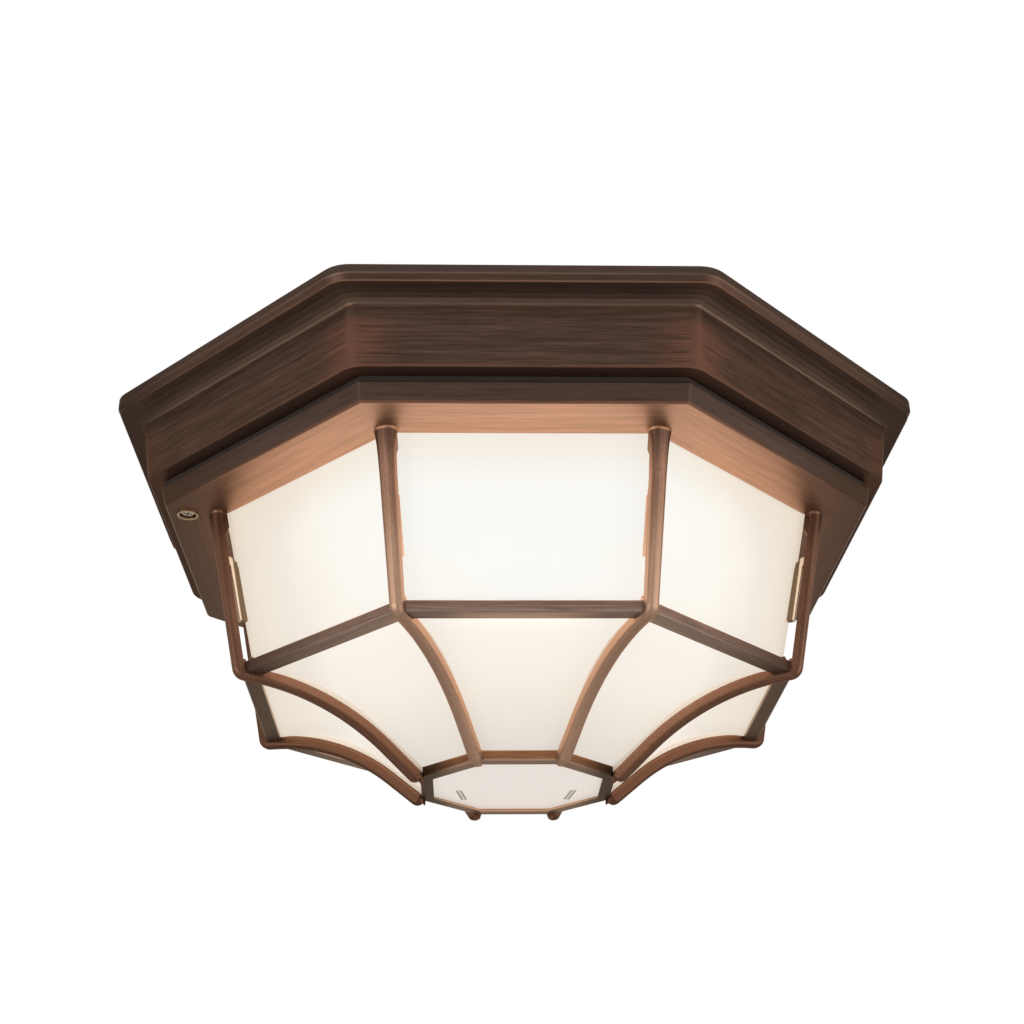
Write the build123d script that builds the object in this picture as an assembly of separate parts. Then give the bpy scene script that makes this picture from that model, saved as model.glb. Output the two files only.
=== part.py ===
from build123d import *
from math import atan, cos, degrees, exp, radians, sin, tan
import os

os.makedirs("parts", exist_ok=True)

# Flush mount ceiling light: an octagonal canopy and a glazed cage hinged under it.
# Millimetres, origin at the centre of the ceiling plane, +Z up, front side at -Y.

# Plan: eight sides, one flat side to the front
SIDES = 8
SECTOR = 360 / SIDES
HALF = SECTOR / 2
FLAT = cos(radians(HALF))
FRONT = -90.0
REACH = 400.0

# How far a cutter runs past the face that it opens, and how near counts as touching
CUT = 1.0
TOUCH = 0.01

# Canopy
RIM_ACROSS = 305.0
RIM_FACE = 3.2
RIM_HEIGHT = 5.8
RIM_BEVEL = 1.2
RIM_CORNER = 12.0
RIM_LAND = 0.8
COVE_WIDTH = 9.0
COVE_HEIGHT = 2.9
COVE_STEPS = 5
BAND_BEAD = 0.7
BAND_TOP_CORNER = 4.0
BAND_TAPER = 2.6
BAND_CORNER = 10.0
CANOPY_HEIGHT = 31.3
EDGE_ROUND = 0.7
WALL = 3.0
PLATE_DROP = 3.6
PLATE_THICK = 2.4
LEDGE_WIDTH = 18.0
LEDGE_THICK = 2.5
INNER_CORNER = 4.0

# Gasket between canopy and cage
GASKET_THICK = 2.0
GASKET_WIDTH = 4.2
GASKET_INSET = 5.5
SEAL_GAP = 0.3

# Cage flange
LIP_STEP = 5.6
LIP_TAPER = 1.4
LIP_HEIGHT = 7.7
LIP_WALL = 6.0
LIP_CORNER = 2.0
FLANGE_THICK = 3.0
PANE_ENTRY = 0.4

# Ribs, measured at the octagon's corners
RIB_INSET = 17.3
RIB_LEAN = 0.215
RIB_WIDTH = 4.8
RIB_TAPER = 1.3
RIB_FLARE = 2.8
RIB_FLARE_DROP = 5.5
RIB_BAR = 3.8
RIB_LOW = 5.0
RIB_STOCK = 9.0
RIB_ROUND = 0.4
RIB_BACK_ROUND = 1.2
RIB_HEAD_DEPTH = 5.8
RIB_HEAD_WIDTH = 6.0
RIB_HEAD_DROP = 6.0
RIB_HEAD_END = 9.0
RIB_JOINT_DROP = 58.0
RIB_KNEE_ROUND = 5.0
RIB_FLOOR_DROP = 64.4
RIB_CURL_RADIUS = 90.0
RIB_CURL_FROM = 3.0
RIB_CURL_ANGLE = 40.0
RIB_END_LAP = 0.9
RIB_END_ROUND = 3.0
WEB_WIDTH = 2.4

# Tabs that run from the ribs to the mitres of the upper glass
TAB_TOP = 13.7
TAB_BEND = 20.7
TAB_FOOT = 4.0
TAB_THICK = 2.2

# Glass
PANE_SET = 6.55
PANE_LEAN = 0.2206
PANE_THICK = 2.0
PANE_GAP = 0.3
PANE_RISE = 2.0
SHELF_RISE = 3.7
PANE_FLOOR_RUN = 6.2
PANE_CURL_RADIUS = 54.0
PANE_CURL_ANGLE = 39.5

# Mid ring and bottom ring
BAR_HEIGHT = 4.1
BAR_RISE = 2.2
BAR_SET = 2.8
BAR_DEPTH = 6.0
BAR_ROUND = 1.2
BAR_EDGE = 0.6
RING_ACROSS = 73.0
RING_WALL = 2.0
RING_LEDGE = 5.0
RING_LEDGE_HEIGHT = 1.5
RING_HEIGHT = 3.9
RING_CORNER = 0.8
RING_PANE_GAP = 0.3

# Glass clips
CLIP_THICK = 1.0
CLIP_HALF_WIDTH = 8.0
CLIP_PAD = 3.0
UPPER_CLIP_TOP = 15.7
UPPER_CLIP_LENGTH = 26.0
LOWER_CLIP_FROM = 12.0
LOWER_CLIP_TO = 26.0
BOTTOM_CLIP_WIDTH = 4.0
BOTTOM_CLIP_OVER = 10.3
BOTTOM_CLIP_RISE = 6.5
CLIP_SCREW_R = 0.8
CLIP_SCREW_HEAD_R = 2.2
CLIP_SCREW_HEAD = 1.2
CLIP_SCREW_LENGTH = 5.0

# Screws that hold the ribs
RIB_SCREW_R = 1.3
RIB_SCREW_HEAD_R = 2.4
RIB_SCREW_HEAD = 2.0
RIB_SCREW_BITE = 6.0
RIB_SCREW_INSET = 3.8

# Latch screw
LATCH_INSET = 11.4
LATCH_AZIMUTH = 200.75
LATCH_R = 2.0
LATCH_CLEAR = 0.5
LATCH_HEAD_R = 2.7
LATCH_HEAD = 1.5
LATCH_SLOT = 0.9
LATCH_CROSS = 3.6
LATCH_POCKET = 1.7
LATCH_WASHER_R = 4.0
LATCH_WASHER = 0.6
LATCH_GRIP = 6.0
LATCH_BOSS_R = 5.0

# Hinge on the back right side
HINGE_AZIMUTH = 45.0
HINGE_OUT = 3.3
HINGE_DROP = 5.7
HINGE_KNUCKLE_R = 2.8
HINGE_KNUCKLE = 14.0
HINGE_LUG = 4.5
HINGE_SIDE_GAP = 0.3
HINGE_PIN_R = 1.5
HINGE_RUN = 0.06
HINGE_HEAD_R = 2.4
HINGE_HEAD = 1.0
HINGE_CLIP = 1.2
HINGE_CLIP_R = 3.0

# Mounting strap and its fixings
STRAP_END = 7.0
STRAP_WIDTH = 18.0
STRAP_THICK = 1.6
STRAP_CENTRE_R = 5.5
SLOT_SPACING = 79.4
SLOT_LENGTH = 14.2
SLOT_R = 2.3
STUD_SPACING = 110.0
STUD_R = 2.0
STUD_END = 14.5
STUD_SINK = 0.2
STUD_CLEAR = 0.3
NUT_SIDES = 6
NUT_ACROSS = 8.0
NUT_HEIGHT = 4.0
NUT_DOME = 4.0
WINDOW_MARGIN = 3.0
EARTH_X = 18.0
EARTH_HEAD_R = 3.4
EARTH_HEAD = 1.8
EARTH_R = 1.9

# Grommet for the supply wires
GROMMET_Y = 26.0
GROMMET_BORE_R = 4.5
GROMMET_HOLE_R = 6.5
GROMMET_FLANGE_R = 8.5
GROMMET_FLANGE = 1.5

# Lampholders and lamps, one pair turned half round from the other
LAMP_SPACE = 20.0
LAMP_DROP = 45.0
HOLDER_ROOM = 24.5
HOLDER_BACKING = 10.0
HOLDER_R = 19.0
HOLDER_NOSE_R = 17.5
HOLDER_NOSE = 14.0
HOLDER_BORE_R = 14.6
SHELL_THICK = 0.6
SHELL_STEP = 3.0
LAMP_CLEAR = 0.4
LAMP_SEAT_GAP = 0.6
CONTACT_R = 4.0
CONTACT = 1.2
LAMP_BASE = 26.5
LAMP_TIP_R = 4.5
LAMP_TIP = 2.5
LAMP_THREADS = 5
LAMP_THREAD = 0.6
COLLAR_NECK_R = 14.5
COLLAR_LENGTH = 34.0
COLLAR_FLARE = 0.12
GLOBE_R = 30.0
GLOBE_WALL = 1.0
BRACKET_WIDTH = 24.0
BRACKET_THICK = 1.5
BRACKET_FOOT = 22.0
BRACKET_SCREW_R = 2.0
BRACKET_HEAD_R = 3.6
BRACKET_HEAD = 2.2
BRACKET_SCREW_PITCH = 13.0

# Heights and apothems that follow from the sizes above
RIM_A = RIM_ACROSS / 2
COVE_OUT = RIM_A - RIM_BEVEL - RIM_LAND
COVE_IN = COVE_OUT - COVE_WIDTH
BAND_TOP_Z = -RIM_HEIGHT - COVE_HEIGHT
BAND_TOP_A = COVE_IN + BAND_BEAD
BAND_BOTTOM_A = BAND_TOP_A - BAND_TAPER
PLATE_TOP = -PLATE_DROP
PLATE_BOTTOM = PLATE_TOP - PLATE_THICK
LEDGE_TOP = -CANOPY_HEIGHT + LEDGE_THICK
CAVITY_TOP_A = COVE_IN - WALL
CAVITY_BOTTOM_A = BAND_BOTTOM_A - WALL
LEDGE_A = CAVITY_BOTTOM_A - LEDGE_WIDTH
LIP_A = BAND_BOTTOM_A - LIP_STEP
LIP_TOP = -CANOPY_HEIGHT - GASKET_THICK - SEAL_GAP
LIP_BOTTOM = LIP_TOP - LIP_HEIGHT
FLANGE_TOP = LIP_BOTTOM + FLANGE_THICK
LEAN = atan(RIB_LEAN)
RIB_TOP_R = (LIP_A - LIP_TAPER) / FLAT - RIB_INSET
RIB_CURL_R = RIB_TOP_R - RIB_LEAN * RIB_FLOOR_DROP
PANE_TILT = cos(atan(PANE_LEAN))
PANE_TOP_A = (RIB_TOP_R - PANE_SET) * FLAT
RIB_FLOOR = LIP_BOTTOM - RIB_FLOOR_DROP
SHELF = RIB_FLOOR + SHELF_RISE
PANE_CURL_A = PANE_TOP_A - PANE_LEAN * (LIP_BOTTOM - SHELF) - PANE_FLOOR_RUN
PANE_TOP = LIP_BOTTOM + PANE_RISE
RING_A = RING_ACROSS / 2
RIB_END_R = RING_A / FLAT - RIB_END_LAP
LATCH_RADIUS = LIP_A / FLAT - LATCH_INSET
LATCH_SEAT = LIP_BOTTOM + LATCH_POCKET
LAMP_OFFSET = GLOBE_R + LAMP_SPACE / 2
HOLDER_BACK = PANE_TOP_A - HOLDER_ROOM
MITRE_GAP = WEB_WIDTH / 2 + PANE_GAP
TAB_END = UPPER_CLIP_TOP + UPPER_CLIP_LENGTH
HOLDER_BORE = CONTACT + LAMP_CLEAR + LAMP_TIP + LAMP_BASE - LAMP_SEAT_GAP
HOLDER_LENGTH = HOLDER_BACKING + HOLDER_BORE
SHELL_LENGTH = HOLDER_BORE - SHELL_STEP


# Octagon with its corners rounded, a flat side square to each axis
def octagon(apothem, corner):
    outline = RegularPolygon(apothem, SIDES, major_radius=False, rotation=HALF)
    return fillet(outline.vertices(), corner)


# Solid through octagons listed as (apothem, height, corner radius)
def stack(rings):
    return loft([Pos(0, 0, z) * octagon(apothem, corner) for apothem, z, corner in rings], ruled=True)


# Octagonal prism between two heights
def prism(apothem, low, high, corner):
    return Pos(0, 0, low) * extrude(octagon(apothem, corner), high - low)


# Upright cylinder between two heights
def post(x, y, radius, low, high):
    return Pos(x, y, low) * Cylinder(radius, high - low, align=(Align.CENTER, Align.CENTER, Align.MIN))


# Block between two corners
def block(low, high):
    size = [b - a for a, b in zip(low, high)]
    return Pos(*low) * Box(*size, align=(Align.MIN, Align.MIN, Align.MIN))


# One eighth of the plan, centred on +X, with its sides set in by a gap
def wedge(gap):
    apex = gap / sin(radians(HALF))
    far = (REACH - apex) * tan(radians(HALF))
    outline = Polygon((apex, 0), (REACH, -far), (REACH, far), align=None)
    return extrude(outline, REACH, both=True)


# A section drawn as (radius, height) becomes a bar across the side that faces +X
def across(section, half_length):
    return extrude(Plane.XZ * section, half_length, both=True)


# The same shape on both sides of one corner of the plan, which then lies on +X
def corner_pair(shape):
    return Rot(0, 0, HALF) * shape + Rot(0, 0, -HALF) * shape


# Eight copies round the plan, the first at the given azimuth
def around(shape, first):
    return [Rot(0, 0, first + SECTOR * k) * shape for k in range(SIDES)]


# One node of the assembly: one or more solids in one file
def node(name, solids):
    export_step(Compound(children=list(solids)), f"parts/{name}.step")


# Canopy casting: rim, cove and tapering band as a stack of octagons
rings = [
    (RIM_A, 0, RIM_CORNER),
    (RIM_A, -RIM_FACE, RIM_CORNER),
    (RIM_A - RIM_BEVEL, -RIM_HEIGHT + EDGE_ROUND, RIM_CORNER - RIM_BEVEL),
    (COVE_OUT + EDGE_ROUND, -RIM_HEIGHT, RIM_CORNER - RIM_BEVEL),
]
for step in range(1, COVE_STEPS + 1):
    turn = radians(90 * step / COVE_STEPS)
    corner = RIM_CORNER + (BAND_TOP_CORNER - RIM_CORNER) * step / COVE_STEPS
    rings.append((COVE_OUT - COVE_WIDTH * sin(turn), BAND_TOP_Z + COVE_HEIGHT * cos(turn), corner))
rings += [
    (BAND_TOP_A, BAND_TOP_Z - EDGE_ROUND, BAND_TOP_CORNER),
    (BAND_BOTTOM_A, -CANOPY_HEIGHT + EDGE_ROUND, BAND_CORNER),
    (BAND_BOTTOM_A - EDGE_ROUND, -CANOPY_HEIGHT, BAND_CORNER),
]
canopy = stack(rings)
canopy -= prism(RIM_A - WALL, PLATE_TOP, CUT, RIM_CORNER - WALL)
canopy -= stack([(CAVITY_TOP_A, PLATE_BOTTOM, INNER_CORNER), (CAVITY_BOTTOM_A, LEDGE_TOP, INNER_CORNER)])
canopy -= prism(LEDGE_A, -CANOPY_HEIGHT - CUT, LEDGE_TOP + CUT, INNER_CORNER)

# Latch boss on the canopy's ledge
latch_x = LATCH_RADIUS * cos(radians(LATCH_AZIMUTH))
latch_y = LATCH_RADIUS * sin(radians(LATCH_AZIMUTH))
latch_tip = -CANOPY_HEIGHT + LATCH_GRIP
canopy += post(latch_x, latch_y, LATCH_BOSS_R, -CANOPY_HEIGHT, latch_tip)
canopy -= post(latch_x, latch_y, LATCH_R + LATCH_CLEAR, -CANOPY_HEIGHT - CUT, latch_tip + CUT)

# Hinge lugs under the band, drawn with the side facing +X and then turned to the back right
hinge_a = LIP_A + HINGE_OUT
hinge_z = -CANOPY_HEIGHT - HINGE_DROP
lug_low = HINGE_KNUCKLE / 2 + HINGE_SIDE_GAP
lug_high = lug_low + HINGE_LUG
lug_outline = Polygon(
    (hinge_a - HINGE_KNUCKLE_R, hinge_z),
    (hinge_a - HINGE_KNUCKLE_R, -CANOPY_HEIGHT + EDGE_ROUND),
    (BAND_BOTTOM_A - EDGE_ROUND, -CANOPY_HEIGHT + EDGE_ROUND),
    (hinge_a + HINGE_KNUCKLE_R, hinge_z),
    align=None,
)
lug_outline += Pos(hinge_a, hinge_z) * Circle(HINGE_KNUCKLE_R)
lug_outline -= Pos(hinge_a, hinge_z) * Circle(HINGE_PIN_R)
lugs = across(lug_outline, lug_high) - block((0, -lug_low, -REACH), (REACH, lug_low, 0))
canopy += Rot(0, 0, HINGE_AZIMUTH) * lugs

# Holes in the canopy plate for the studs, the box screws, the wires and the brackets
stud_x = STUD_SPACING / 2
slot_x = SLOT_SPACING / 2
window = SlotOverall(SLOT_LENGTH + 2 * WINDOW_MARGIN, 2 * (SLOT_R + WINDOW_MARGIN))
bracket_x = HOLDER_BACK + BRACKET_THICK + BRACKET_FOOT / 2
half_turn = Rot(0, 0, 180)
bracket_holes = [
    (-bracket_x, -LAMP_OFFSET + BRACKET_SCREW_PITCH / 2 * end) for end in (-1, 1)
]
for side in (-1, 1):
    canopy -= post(side * stud_x, 0, STUD_R + STUD_CLEAR, PLATE_BOTTOM - CUT, PLATE_TOP + CUT)
    canopy -= Pos(side * slot_x, 0, PLATE_BOTTOM - CUT) * extrude(window, PLATE_THICK + 2 * CUT)
canopy -= post(0, GROMMET_Y, GROMMET_HOLE_R, PLATE_BOTTOM - CUT, PLATE_TOP + CUT)
for x, y in bracket_holes:
    hole = post(x, y, BRACKET_SCREW_R, PLATE_BOTTOM - CUT, PLATE_TOP + CUT)
    canopy -= hole
    canopy -= half_turn * hole
node("canopy_pan", [canopy])

# Gasket under the ledge
gasket_out = LIP_A - GASKET_INSET + GASKET_WIDTH
gasket_low = -CANOPY_HEIGHT - GASKET_THICK
gasket = prism(gasket_out, gasket_low, -CANOPY_HEIGHT, LIP_CORNER)
gasket -= prism(gasket_out - GASKET_WIDTH, gasket_low - CUT, -CANOPY_HEIGHT + CUT, LIP_CORNER)
node("canopy_gasket", [gasket])

# Mounting strap with a slot for each ceiling box screw
strap_outline = SlotOverall(STUD_SPACING + 2 * STRAP_END, STRAP_WIDTH)
strap = Pos(0, 0, -STRAP_THICK) * extrude(strap_outline, STRAP_THICK)
strap_cut = -STRAP_THICK - CUT
slot = extrude(SlotOverall(SLOT_LENGTH, 2 * SLOT_R), STRAP_THICK + 2 * CUT)
strap -= post(0, 0, STRAP_CENTRE_R, strap_cut, CUT)
strap -= post(EARTH_X, 0, EARTH_R, strap_cut, CUT)
for side in (-1, 1):
    strap -= Pos(side * slot_x, 0, strap_cut) * slot
    strap -= post(side * stud_x, 0, STUD_R, strap_cut, CUT)
node("mounting_strap", [strap])

# Studs, cap nuts under the canopy plate, earth screw
studs = [post(side * stud_x, 0, STUD_R, -STUD_END, -STUD_SINK) for side in (-1, 1)]
node("fixing_studs", studs)
nut_low = PLATE_BOTTOM - NUT_HEIGHT
nut_outline = RegularPolygon(NUT_ACROSS / 2, NUT_SIDES, major_radius=False)
nut = Pos(0, 0, nut_low) * extrude(nut_outline, NUT_HEIGHT)
dome = Pos(0, 0, nut_low) * Sphere(NUT_DOME - EDGE_ROUND / 2)
dome += post(0, 0, NUT_DOME - EDGE_ROUND / 2, nut_low, PLATE_BOTTOM)
dome &= block((-REACH, -REACH, -REACH), (REACH, REACH, nut_low + NUT_DOME / 2))
nut += Pos(0, 0, -NUT_DOME / 2) * dome
nut -= post(0, 0, STUD_R, -STUD_END, 0)
node("cap_nuts", [Pos(side * stud_x, 0, 0) * nut for side in (-1, 1)])
earth = post(EARTH_X, 0, EARTH_R, -STRAP_THICK, -STUD_SINK)
earth_head = extrude(RegularPolygon(EARTH_HEAD_R, NUT_SIDES), EARTH_HEAD)
earth += Pos(EARTH_X, 0, -STRAP_THICK - EARTH_HEAD) * earth_head
node("earth_screw", [earth])

# Grommet: a flange on each face of the plate
grommet_low = PLATE_BOTTOM - GROMMET_FLANGE
grommet_top = PLATE_TOP + GROMMET_FLANGE
grommet = post(0, GROMMET_Y, GROMMET_HOLE_R, grommet_low, grommet_top)
grommet += post(0, GROMMET_Y, GROMMET_FLANGE_R, PLATE_TOP, grommet_top)
grommet += post(0, GROMMET_Y, GROMMET_FLANGE_R, grommet_low, PLATE_BOTTOM)
grommet -= post(0, GROMMET_Y, GROMMET_BORE_R, grommet_low - CUT, grommet_top + CUT)
node("wire_grommet", [grommet])


lamp_axis = Pos(-HOLDER_BACK, -LAMP_OFFSET, -LAMP_DROP)


# A turned piece, drawn as (distance along the lamp, radius), laid on the left lamp's axis
def turned(outline):
    return lamp_axis * revolve(outline, Axis.X)


# The left piece and its twin, turned half round
def pair(name, shape):
    node(f"{name}_left", [shape])
    node(f"{name}_right", [half_turn * shape])


# Lampholder: stepped ceramic body with a shell and a centre contact in its bore
shell_start = HOLDER_BACKING
nose_start = HOLDER_LENGTH - HOLDER_NOSE
body = turned(
    Polygon(
        (0, 0),
        (0, HOLDER_R),
        (nose_start, HOLDER_R),
        (nose_start + HOLDER_R - HOLDER_NOSE_R, HOLDER_NOSE_R),
        (HOLDER_LENGTH, HOLDER_NOSE_R),
        (HOLDER_LENGTH, HOLDER_BORE_R),
        (shell_start, HOLDER_BORE_R),
        (shell_start, 0),
        align=None,
    )
)
pair("holder_body", body)
shell_in = HOLDER_BORE_R - SHELL_THICK
shell = turned(
    Polygon(
        (shell_start, 0),
        (shell_start, HOLDER_BORE_R),
        (shell_start + SHELL_LENGTH, HOLDER_BORE_R),
        (shell_start + SHELL_LENGTH, shell_in),
        (shell_start + SHELL_THICK, shell_in),
        (shell_start + SHELL_THICK, CONTACT_R),
        (shell_start + CONTACT, CONTACT_R),
        (shell_start + CONTACT, 0),
        align=None,
    )
)
pair("holder_shell", shell)

# Lamp: rolled screw base, flared collar, thin globe
tip = shell_start + CONTACT + LAMP_CLEAR
base_start = tip + LAMP_TIP
base_end = base_start + LAMP_BASE
base_r = shell_in - LAMP_CLEAR - LAMP_THREAD
pitch = LAMP_BASE / LAMP_THREADS
base_outline = [(tip, 0), (tip, LAMP_TIP_R)]
for ridge in range(LAMP_THREADS):
    groove = base_start + pitch * ridge
    base_outline += [(groove, base_r), (groove + pitch / 2, base_r + LAMP_THREAD)]
base_outline += [(base_end, base_r), (base_end, 0)]
lamp_base = turned(Polygon(*base_outline, align=None))
pair("lamp_base", lamp_base)
collar_end = base_end + COLLAR_LENGTH
globe_x = collar_end + GLOBE_R * sin(radians(HALF))
collar_r = GLOBE_R * FLAT
collar_line = Line((base_end, 0), (base_end, COLLAR_NECK_R))
flare = TangentArc((base_end, COLLAR_NECK_R), (collar_end, collar_r), tangent=(1, COLLAR_FLARE))
collar_face = Line((collar_end, collar_r), (collar_end, 0))
collar_axis = Line((collar_end, 0), (base_end, 0))
pair("lamp_collar", turned(make_face([collar_line, flare, collar_face, collar_axis])))
globe = Pos(globe_x, 0) * (Circle(GLOBE_R) - Circle(GLOBE_R - GLOBE_WALL))
globe &= Pos(collar_end, 0) * Rectangle(REACH, GLOBE_R, align=(Align.MIN, Align.MIN))
pair("lamp_globe", turned(globe))

# Bracket: a foot under the plate and an upright with a round end behind the lampholder
foot_start = -HOLDER_BACK - BRACKET_THICK - BRACKET_FOOT
half_strip = BRACKET_WIDTH / 2
bracket = block(
    (foot_start, -LAMP_OFFSET - half_strip, PLATE_BOTTOM - BRACKET_THICK),
    (-HOLDER_BACK, -LAMP_OFFSET + half_strip, PLATE_BOTTOM),
)
bracket += block(
    (-HOLDER_BACK - BRACKET_THICK, -LAMP_OFFSET - half_strip, -LAMP_DROP),
    (-HOLDER_BACK, -LAMP_OFFSET + half_strip, PLATE_BOTTOM),
)
round_end = Pos(-HOLDER_BACK, -LAMP_OFFSET, -LAMP_DROP) * Rot(0, -90, 0)
bracket += round_end * Cylinder(half_strip, BRACKET_THICK, align=(Align.CENTER, Align.CENTER, Align.MIN))
bracket_screws = []
for x, y in bracket_holes:
    screw = post(x, y, BRACKET_SCREW_R, PLATE_BOTTOM - BRACKET_THICK, PLATE_TOP)
    bracket -= screw
    head_low = PLATE_BOTTOM - BRACKET_THICK - BRACKET_HEAD
    screw += post(x, y, BRACKET_HEAD_R, head_low, PLATE_BOTTOM - BRACKET_THICK)
    bracket_screws += [screw, half_turn * screw]
pair("holder_bracket", bracket)
node("bracket_screws", bracket_screws)


# Outer face of the upper glazing: apothem at a height, set in by a depth
def upper_a(z, depth):
    return PANE_TOP_A - PANE_LEAN * (LIP_BOTTOM - z) - depth / PANE_TILT


# Point on the curl of the lower glazing, set in by a depth
def curl_point(angle, depth):
    radius = PANE_CURL_RADIUS + depth
    centre_z = SHELF - PANE_CURL_RADIUS
    return (PANE_CURL_A - radius * sin(radians(angle)), centre_z + radius * cos(radians(angle)))


# Point on the straight slope below the curl, at a given apothem
def slope_point(apothem, depth):
    start = curl_point(PANE_CURL_ANGLE, depth)
    return (apothem, start[1] - (start[0] - apothem) * tan(radians(PANE_CURL_ANGLE)))


# Section of the upper glazing between two depths and two heights
def upper_section(near, deep, high, low):
    return Polygon(
        (upper_a(high, near), high),
        (upper_a(high, deep), high),
        (upper_a(low, deep), low),
        (upper_a(low, near), low),
        align=None,
    )


# Arc of the curl at a depth, between two angles
def curl_arc(depth, first, last):
    return ThreePointArc(
        curl_point(first, depth), curl_point((first + last) / 2, depth), curl_point(last, depth)
    )


# Section of the lower glazing: a flat margin, the curl, and a slope down to the bottom ring
def lower_section(edge_a, end_a):
    outer_end = slope_point(end_a, 0)
    run = PANE_THICK * sin(radians(PANE_CURL_ANGLE))
    inner_end = slope_point(end_a + run, PANE_THICK)
    return make_face([
        Line((edge_a, SHELF), curl_point(0, 0)),
        curl_arc(0, 0, PANE_CURL_ANGLE),
        Line(curl_point(PANE_CURL_ANGLE, 0), outer_end),
        Line(outer_end, inner_end),
        Line(inner_end, curl_point(PANE_CURL_ANGLE, PANE_THICK)),
        curl_arc(PANE_THICK, PANE_CURL_ANGLE, 0),
        Line(curl_point(0, PANE_THICK), (edge_a, SHELF + PANE_THICK)),
        Line((edge_a, SHELF + PANE_THICK), (edge_a, SHELF)),
    ])


# Everything inside the outer face of the glazing, for one side
def glazed_section():
    low = slope_point(0, 0)
    return make_face([
        Line((0, LIP_TOP), (upper_a(LIP_TOP, 0), LIP_TOP)),
        Line((upper_a(LIP_TOP, 0), LIP_TOP), (upper_a(SHELF, 0), SHELF)),
        Line((upper_a(SHELF, 0), SHELF), curl_point(0, 0)),
        curl_arc(0, 0, PANE_CURL_ANGLE),
        Line(curl_point(PANE_CURL_ANGLE, 0), low),
        Line(low, (0, LIP_TOP)),
    ])


glazed = across(glazed_section(), LIP_A) & wedge(0)
glazed_corner = corner_pair(glazed)
pane_foot = SHELF + PANE_THICK
lower_edge_a = upper_a(SHELF, 0) - PANE_GAP
lower_end_a = RING_A - RING_WALL
upper_bar = across(upper_section(0, PANE_THICK, PANE_TOP, pane_foot), LIP_A)
lower_bar = across(lower_section(lower_edge_a, lower_end_a), LIP_A)

# Panes: flat above, bent below, each cut to its eighth of the plan, the upper ones notched for the tabs
upper_pane = upper_bar & wedge(PANE_GAP / 2)
notch_low = LIP_BOTTOM - TAB_END - PANE_GAP
notch_high = LIP_BOTTOM - TAB_BEND + PANE_GAP
notch = upper_pane & block((0, -REACH, notch_low), (REACH, REACH, notch_high))
upper_pane -= notch - wedge(MITRE_GAP)
for number, pane in enumerate(around(upper_pane, FRONT), 1):
    node(f"upper_pane_{number}", [pane])
for number, pane in enumerate(around(lower_bar & wedge(MITRE_GAP), FRONT), 1):
    node(f"lower_pane_{number}", [pane])
ring_bottom = slope_point(RING_A, 0)[1] - RING_HEIGHT
ring_seat = ring_bottom + RING_LEDGE_HEIGHT
bottom_a = RING_A - RING_WALL - RING_PANE_GAP
bottom_pane = prism(bottom_a, ring_seat, ring_seat + PANE_THICK, RING_CORNER)
node("bottom_pane", [bottom_pane])

# Bottom ring: a wall with a ledge inside, its top cut to the slope of the lower panes
ring_block = prism(RING_A, ring_bottom, SHELF, RING_CORNER)
ring = ring_block - prism(RING_A - RING_WALL, ring_seat, SHELF + CUT, RING_CORNER)
ring -= prism(RING_A - RING_WALL - RING_LEDGE, ring_bottom - CUT, ring_seat + CUT, RING_CORNER)
for side in around(glazed, 0):
    ring -= side
node("bottom_ring", [ring])


# Section of a rib's leg, rounded on its outer face
def rib_section(width):
    bar = Pos(0, -RIB_BAR / 2) * Rectangle(width, RIB_BAR)
    return fillet(bar.vertices().group_by(Axis.Y)[-1], RIB_ROUND * width)


# Place on the straight outer face of a rib, set square to it
def rib_plane(drop):
    origin = (RIB_TOP_R - RIB_LEAN * drop, 0, LIP_BOTTOM - drop)
    return Plane(origin=origin, x_dir=(0, 1, 0), z_dir=(-sin(LEAN), 0, -cos(LEAN)))


# Point on a rib's leg seen from the side: how far down, and how deep behind its outer face
def leg_point(drop, depth):
    return (RIB_TOP_R - RIB_LEAN * drop - depth / cos(LEAN), LIP_BOTTOM - drop)


# Width of a leg: an even taper, with a flare under the flange
def leg_width(drop):
    flare = RIB_TAPER + RIB_FLARE * exp(-drop / RIB_FLARE_DROP)
    return RIB_WIDTH + flare * (1 - drop / RIB_JOINT_DROP)


# Point on the curl of a rib, set in by a depth
def rib_curl(angle, depth):
    radius = RIB_CURL_RADIUS + depth
    turn = radians(angle)
    return (RIB_CURL_R - radius * sin(turn), RIB_FLOOR - RIB_CURL_RADIUS + radius * cos(turn))


# Point on the last straight run of a rib
def rib_tail(radius, depth):
    start = rib_curl(RIB_CURL_ANGLE, depth)
    return (radius, start[1] - (start[0] - radius) * tan(radians(RIB_CURL_ANGLE)))


# Arc of a rib's curl at a depth, between two angles
def rib_arc(depth, first, last):
    return ThreePointArc(
        rib_curl(first, depth), rib_curl((first + last) / 2, depth), rib_curl(last, depth)
    )


# Lower half of a rib: knee, curl and rounded end, drawn from the side
joint_out = leg_point(RIB_JOINT_DROP, 0)
joint_in = (joint_out[0] - RIB_LOW * cos(LEAN), joint_out[1] + RIB_LOW * sin(LEAN))
tail_out = rib_tail(RIB_END_R, 0)
tail_in = rib_tail(RIB_END_R, RIB_LOW)
front_line = [
    Line(joint_out, rib_curl(0, 0)),
    rib_arc(0, 0, RIB_CURL_ANGLE),
    Line(rib_curl(RIB_CURL_ANGLE, 0), tail_out),
]
back_line = [
    Line(tail_in, rib_curl(RIB_CURL_ANGLE, RIB_LOW)),
    rib_arc(RIB_LOW, RIB_CURL_ANGLE, RIB_CURL_FROM),
    Line(rib_curl(RIB_CURL_FROM, RIB_LOW), joint_in),
]
end_lines = [Line(tail_out, tail_in), Line(joint_in, joint_out)]
side_view = make_face(front_line + back_line + end_lines)
side_view = fillet(side_view.vertices().sort_by_distance((*rib_curl(0, 0), 0))[0], RIB_KNEE_ROUND)
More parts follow.
